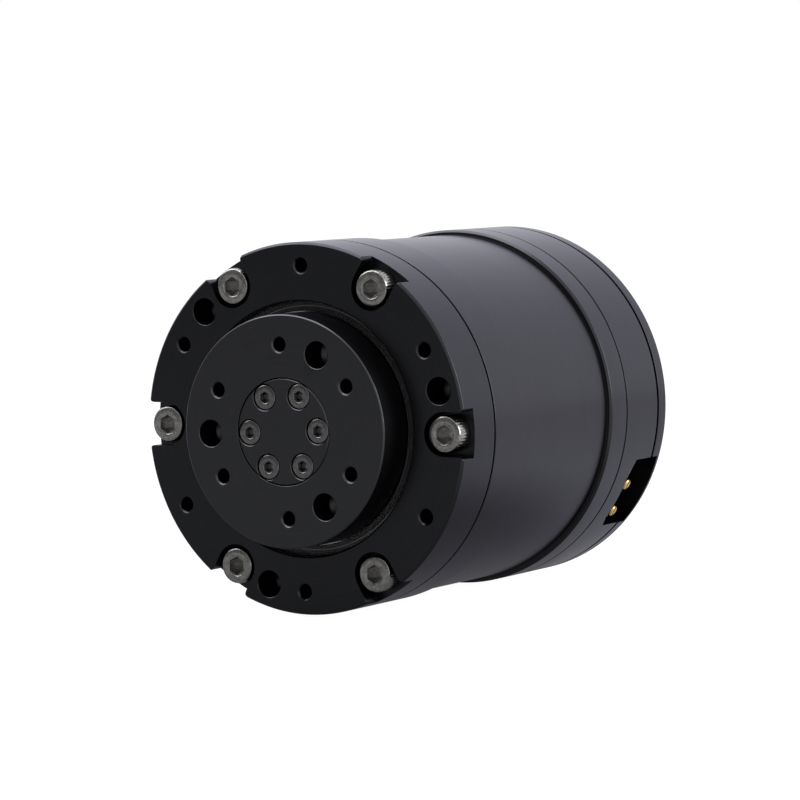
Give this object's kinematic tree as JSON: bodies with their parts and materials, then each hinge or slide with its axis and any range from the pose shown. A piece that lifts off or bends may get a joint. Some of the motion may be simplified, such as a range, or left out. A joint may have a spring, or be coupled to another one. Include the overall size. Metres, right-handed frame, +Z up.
{
  "type": "robot joint actuator",
  "caption": "Round geared robot joint actuator: a notched mounting flange and a proud turning output flange on a black barrel, with a motor and driver behind.",
  "frame": {"origin": "centre of the housing bolt circle, on the front flange's mounting face", "axes": "-Y along the output axis, out of the output face; +Z up, with a screw notch on +X and -X"},
  "size_m": [0.0566, 0.07, 0.0566],
  "materials": {
    "anodised_black": "satin black anodised",
    "anodised_charcoal": "satin charcoal anodised",
    "black_oxide_steel": "dark oxide",
    "bearing_steel": "ground",
    "gear_steel": "ground",
    "carrier_steel": "machined",
    "bush_bronze": "sintered",
    "seal_rubber": "matt",
    "lamination_steel": "laminated",
    "winding_copper": "enamelled",
    "magnet_nickel": "nickel plated",
    "circuit_board": "solder mask",
    "chip_epoxy": "moulded",
    "connector_nylon": "moulded",
    "contact_gold": "gold plated",
    "wire_sleeve": "insulated",
    "washer_peek": "moulded"
  },
  "bodies": {
    "housing": {"front_flange": "anodised_black", "main_housing": "anodised_black", "driver_housing": "anodised_black", "rear_cover": "anodised_black", "dust_seal": "seal_rubber", "ring_gear": "gear_steel", "flange_screws": "black_oxide_steel", "rear_cover_screws": "black_oxide_steel", "output_bearing_outer_ring": "bearing_steel", "rotor_bearing_outer_front": "bearing_steel", "rotor_bearing_outer_rear": "bearing_steel", "bearing_spacer": "bearing_steel", "stator_core": "lamination_steel", "stator_windings": "winding_copper", "phase_leads": "wire_sleeve", "driver_board": "circuit_board", "board_screws": "black_oxide_steel", "encoder_chip": "chip_epoxy", "board_components": "chip_epoxy", "connector_shell": "connector_nylon", "power_pins": "contact_gold", "signal_pins": "contact_gold"},
    "output": {"output_flange": "anodised_charcoal", "output_cap": "anodised_black", "output_cap_screws": "black_oxide_steel", "output_bearing_inner_ring": "bearing_steel", "output_carrier": "carrier_steel", "carrier_screws": "black_oxide_steel", "output_planet_pins": "carrier_steel", "thrust_washer": "washer_peek"},
    "bearing_rollers": {"output_bearing_rollers": "bearing_steel"},
    "input_carrier_assembly": {"input_carrier": "carrier_steel", "output_sun": "gear_steel", "input_planet_pins": "carrier_steel"},
    "rotor": {"rotor_bell": "carrier_steel", "rotor_magnets": "magnet_nickel", "rotor_shaft": "gear_steel", "encoder_magnet": "magnet_nickel", "rotor_bearing_inner_front": "bearing_steel", "rotor_bearing_inner_rear": "bearing_steel"},
    "output_planet_1_assembly": {"output_planet_1": "gear_steel", "output_planet_bush_1": "bush_bronze"},
    "input_planet_1_assembly": {"input_planet_1": "gear_steel", "input_planet_bush_1": "bush_bronze"},
    "output_planet_2_assembly": {"output_planet_2": "gear_steel", "output_planet_bush_2": "bush_bronze"},
    "input_planet_2_assembly": {"input_planet_2": "gear_steel", "input_planet_bush_2": "bush_bronze"},
    "output_planet_3_assembly": {"output_planet_3": "gear_steel", "output_planet_bush_3": "bush_bronze"},
    "input_planet_3_assembly": {"input_planet_3": "gear_steel", "input_planet_bush_3": "bush_bronze"}
  },
  "joints": [
    {"name": "output_spin", "type": "hinge", "parent": "housing", "child": "output", "pos_m": [0, 0, 0], "axis": [0, -1, 0], "continuous": true},
    {"name": "rotor_spin", "type": "hinge", "parent": "housing", "child": "rotor", "pos_m": [0, 0, 0], "axis": [0, -1, 0], "continuous": true},
    {"name": "input_carrier_spin", "type": "hinge", "parent": "housing", "child": "input_carrier_assembly", "pos_m": [0, 0, 0], "axis": [0, -1, 0], "continuous": true},
    {"name": "bearing_roller_orbit", "type": "hinge", "parent": "housing", "child": "bearing_rollers", "pos_m": [0, 0, 0], "axis": [0, -1, 0], "continuous": true},
    {"name": "output_planet_1_spin", "type": "hinge", "parent": "output", "child": "output_planet_1_assembly", "pos_m": [0, 0, 0.0105], "axis": [0, -1, 0], "continuous": true},
    {"name": "input_planet_1_spin", "type": "hinge", "parent": "input_carrier_assembly", "child": "input_planet_1_assembly", "pos_m": [0, 0, 0.0105], "axis": [0, -1, 0], "continuous": true},
    {"name": "output_planet_2_spin", "type": "hinge", "parent": "output", "child": "output_planet_2_assembly", "pos_m": [-0.00909, 0, -0.00525], "axis": [0, -1, 0], "continuous": true},
    {"name": "input_planet_2_spin", "type": "hinge", "parent": "input_carrier_assembly", "child": "input_planet_2_assembly", "pos_m": [-0.00909, 0, -0.00525], "axis": [0, -1, 0], "continuous": true},
    {"name": "output_planet_3_spin", "type": "hinge", "parent": "output", "child": "output_planet_3_assembly", "pos_m": [0.00909, 0, -0.00525], "axis": [0, -1, 0], "continuous": true},
    {"name": "input_planet_3_spin", "type": "hinge", "parent": "input_carrier_assembly", "child": "input_planet_3_assembly", "pos_m": [0.00909, 0, -0.00525], "axis": [0, -1, 0], "continuous": true}
  ],
  "couplings": [
    {"joint": "rotor_spin", "follows": "output_spin", "ratio": 36},
    {"joint": "input_carrier_spin", "follows": "output_spin", "ratio": 6},
    {"joint": "bearing_roller_orbit", "follows": "output_spin", "ratio": 0.47643},
    {"joint": "output_planet_1_spin", "follows": "output_spin", "ratio": -2.5},
    {"joint": "input_planet_1_spin", "follows": "output_spin", "ratio": -15},
    {"joint": "output_planet_2_spin", "follows": "output_spin", "ratio": -2.5},
    {"joint": "input_planet_2_spin", "follows": "output_spin", "ratio": -15},
    {"joint": "output_planet_3_spin", "follows": "output_spin", "ratio": -2.5},
    {"joint": "input_planet_3_spin", "follows": "output_spin", "ratio": -15}
  ]
}
